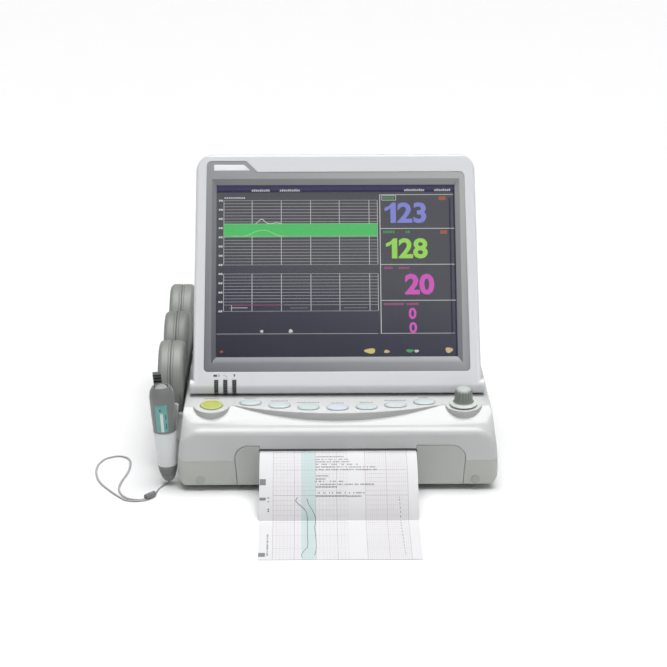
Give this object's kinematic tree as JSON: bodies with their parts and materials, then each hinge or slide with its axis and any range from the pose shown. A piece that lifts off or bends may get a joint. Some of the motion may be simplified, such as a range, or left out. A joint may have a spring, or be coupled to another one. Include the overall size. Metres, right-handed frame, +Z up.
{
  "type": "fetal monitor",
  "caption": "Bedside fetal monitor: tilting screen head on a base with a strip-printer drawer, side rack of round cordless probes, and an event marker.",
  "frame": {"origin": "on the table, centred under the base", "axes": "+Z up, +Y from the front face to the back, +X to the right as seen from the front"},
  "size_m": [0.3913, 0.5028, 0.2808],
  "materials": {
    "white_shell": "satin moulded ABS",
    "grey_shell": "satin moulded ABS, greenish grey",
    "surround_grey": "fine matt grain",
    "screen_glass": "anti-glare window",
    "dark_plastic": "matt",
    "key_plastic": "satin",
    "start_plastic": "satin",
    "knob_plastic": "matt",
    "disc_plastic": "satin",
    "marker_grey": "satin",
    "tip_rubber": "matt",
    "rubber": "matt",
    "steel": "bright",
    "board": "solder resist",
    "paper": "thermal chart paper",
    "brass": "bright",
    "strap": "woven nylon",
    "battery": "shrink sleeve"
  },
  "bodies": {
    "base": {"base_top_cover": "white_shell", "base_bottom_cover": "grey_shell", "rear_panel": "grey_shell", "rubber_feet": "rubber", "cover_screws": "steel", "main_board": "board", "power_supply": "steel", "battery_pack": "battery", "speaker": "dark_plastic", "mains_inlet": "dark_plastic", "data_ports": "steel", "earth_terminal": "brass", "key_board": "board", "encoder_body": "steel", "print_head": "steel", "drawer_rails": "steel", "hinge_brackets": "steel", "transducer_cradle": "white_shell"},
    "display_head": {"head_front_frame": "white_shell", "screen_surround": "surround_grey", "screen_window": "screen_glass", "lcd_panel": "dark_plastic", "head_chassis": "steel", "head_rear_shell": "white_shell", "head_screws": "steel", "indicator_lenses": "dark_plastic"},
    "paper_drawer": {"drawer_front": "grey_shell", "paper_tray": "white_shell", "paper_stack": "paper", "paper_strip": "paper", "drawer_motor": "dark_plastic"},
    "platen": {"platen_roller": "rubber", "platen_shaft": "steel", "platen_gear": "white_shell"},
    "pinion": {"motor_pinion": "brass"},
    "start_button": {"start_button": "start_plastic"},
    "shaft": {"encoder_shaft": "steel"},
    "knob": {"control_knob": "knob_plastic"},
    "power_switch": {"power_switch": "dark_plastic"},
    "marker": {"marker_body": "marker_grey", "marker_sleeve": "white_shell", "marker_tip": "tip_rubber", "strap_string": "strap", "strap_lock": "strap", "strap_loop": "strap"},
    "marker_button": {"marker_button": "marker_grey"},
    "marker_clip": {"marker_clip": "tip_rubber"},
    "key_1": {"key_1": "key_plastic"},
    "key_2": {"key_2": "key_plastic"},
    "key_3": {"key_3": "key_plastic"},
    "key_4": {"key_4": "key_plastic"},
    "key_5": {"key_5": "key_plastic"},
    "key_6": {"key_6": "key_plastic"},
    "key_7": {"key_7": "key_plastic"},
    "transducer_1": {"transducer_1_cap": "disc_plastic", "transducer_1_body": "disc_plastic"},
    "transducer_2": {"transducer_2_cap": "disc_plastic", "transducer_2_body": "disc_plastic"},
    "transducer_3": {"transducer_3_cap": "disc_plastic", "transducer_3_body": "disc_plastic"}
  },
  "joints": [
    {"name": "head_tilt", "type": "hinge", "parent": "base", "child": "display_head", "pos_m": [0, -0.07118, 0.0888], "axis": [-1, 0, 0], "range_deg": [0, 55]},
    {"name": "paper_drawer_slide", "type": "slide", "parent": "base", "child": "paper_drawer", "axis": [0, -1, 0], "range_m": [0, 0.11]},
    {"name": "platen_turn", "type": "hinge", "parent": "paper_drawer", "child": "platen", "pos_m": [0, -0.1475, 0.033], "axis": [1, 0, 0], "continuous": true},
    {"name": "pinion_turn", "type": "hinge", "parent": "paper_drawer", "child": "pinion", "pos_m": [0.0842, -0.13107, 0.02951], "axis": [1, 0, 0], "continuous": true},
    {"name": "key_1_press", "type": "slide", "parent": "base", "child": "key_1", "axis": [0, 0.0698, -0.9976], "range_m": [0, 0.0008], "stiffness_N_per_m": 800, "springref_m": -0.0005},
    {"name": "key_2_press", "type": "slide", "parent": "base", "child": "key_2", "axis": [0, 0.0698, -0.9976], "range_m": [0, 0.0008], "stiffness_N_per_m": 800, "springref_m": -0.0005},
    {"name": "key_3_press", "type": "slide", "parent": "base", "child": "key_3", "axis": [0, 0.0698, -0.9976], "range_m": [0, 0.0008], "stiffness_N_per_m": 800, "springref_m": -0.0005},
    {"name": "key_4_press", "type": "slide", "parent": "base", "child": "key_4", "axis": [0, 0.0698, -0.9976], "range_m": [0, 0.0008], "stiffness_N_per_m": 800, "springref_m": -0.0005},
    {"name": "key_5_press", "type": "slide", "parent": "base", "child": "key_5", "axis": [0, 0.0698, -0.9976], "range_m": [0, 0.0008], "stiffness_N_per_m": 800, "springref_m": -0.0005},
    {"name": "key_6_press", "type": "slide", "parent": "base", "child": "key_6", "axis": [0, 0.0698, -0.9976], "range_m": [0, 0.0008], "stiffness_N_per_m": 800, "springref_m": -0.0005},
    {"name": "key_7_press", "type": "slide", "parent": "base", "child": "key_7", "axis": [0, 0.0698, -0.9976], "range_m": [0, 0.0008], "stiffness_N_per_m": 800, "springref_m": -0.0005},
    {"name": "start_press", "type": "slide", "parent": "base", "child": "start_button", "axis": [0, 0.0698, -0.9976], "range_m": [0, 0.001], "stiffness_N_per_m": 800, "springref_m": -0.0005},
    {"name": "knob_press", "type": "slide", "parent": "base", "child": "shaft", "axis": [0, 0.0698, -0.9976], "range_m": [0, 0.0006], "stiffness_N_per_m": 1500, "springref_m": -0.0005},
    {"name": "knob_turn", "type": "hinge", "parent": "shaft", "child": "knob", "pos_m": [0.122, -0.12594, 0.07321], "axis": [0, -0.0698, 0.9976], "continuous": true},
    {"name": "power_rocker", "type": "hinge", "parent": "base", "child": "power_switch", "pos_m": [0.046, 0.1592, 0.038], "axis": [-1, 0, 0], "range_deg": [0, 14]},
    {"name": "transducer_1_lift", "type": "slide", "parent": "base", "child": "transducer_1", "axis": [0, 0, 1], "range_m": [0, 0.085]},
    {"name": "transducer_2_lift", "type": "slide", "parent": "base", "child": "transducer_2", "axis": [0, 0, 1], "range_m": [0, 0.085]},
    {"name": "transducer_3_lift", "type": "slide", "parent": "base", "child": "transducer_3", "axis": [0, 0, 1], "range_m": [0, 0.085]},
    {"name": "marker_lift", "type": "slide", "parent": "base", "child": "marker", "axis": [0, 0, 1], "range_m": [0, 0.032]},
    {"name": "marker_press", "type": "slide", "parent": "marker", "child": "marker_button", "axis": [0.0628, 0, -0.998], "range_m": [0, 0.001], "stiffness_N_per_m": 600, "springref_m": -0.0005},
    {"name": "clip_squeeze", "type": "hinge", "parent": "marker", "child": "marker_clip", "pos_m": [-0.17254, -0.1264, 0.08479], "axis": [0.998, 0, 0.0628], "range_deg": [0, 10], "stiffness_Nm_per_rad": 0.3, "springref_deg": -8.59}
  ],
  "couplings": [
    {"joint": "pinion_turn", "follows": "platen_turn", "ratio": -2}
  ]
}
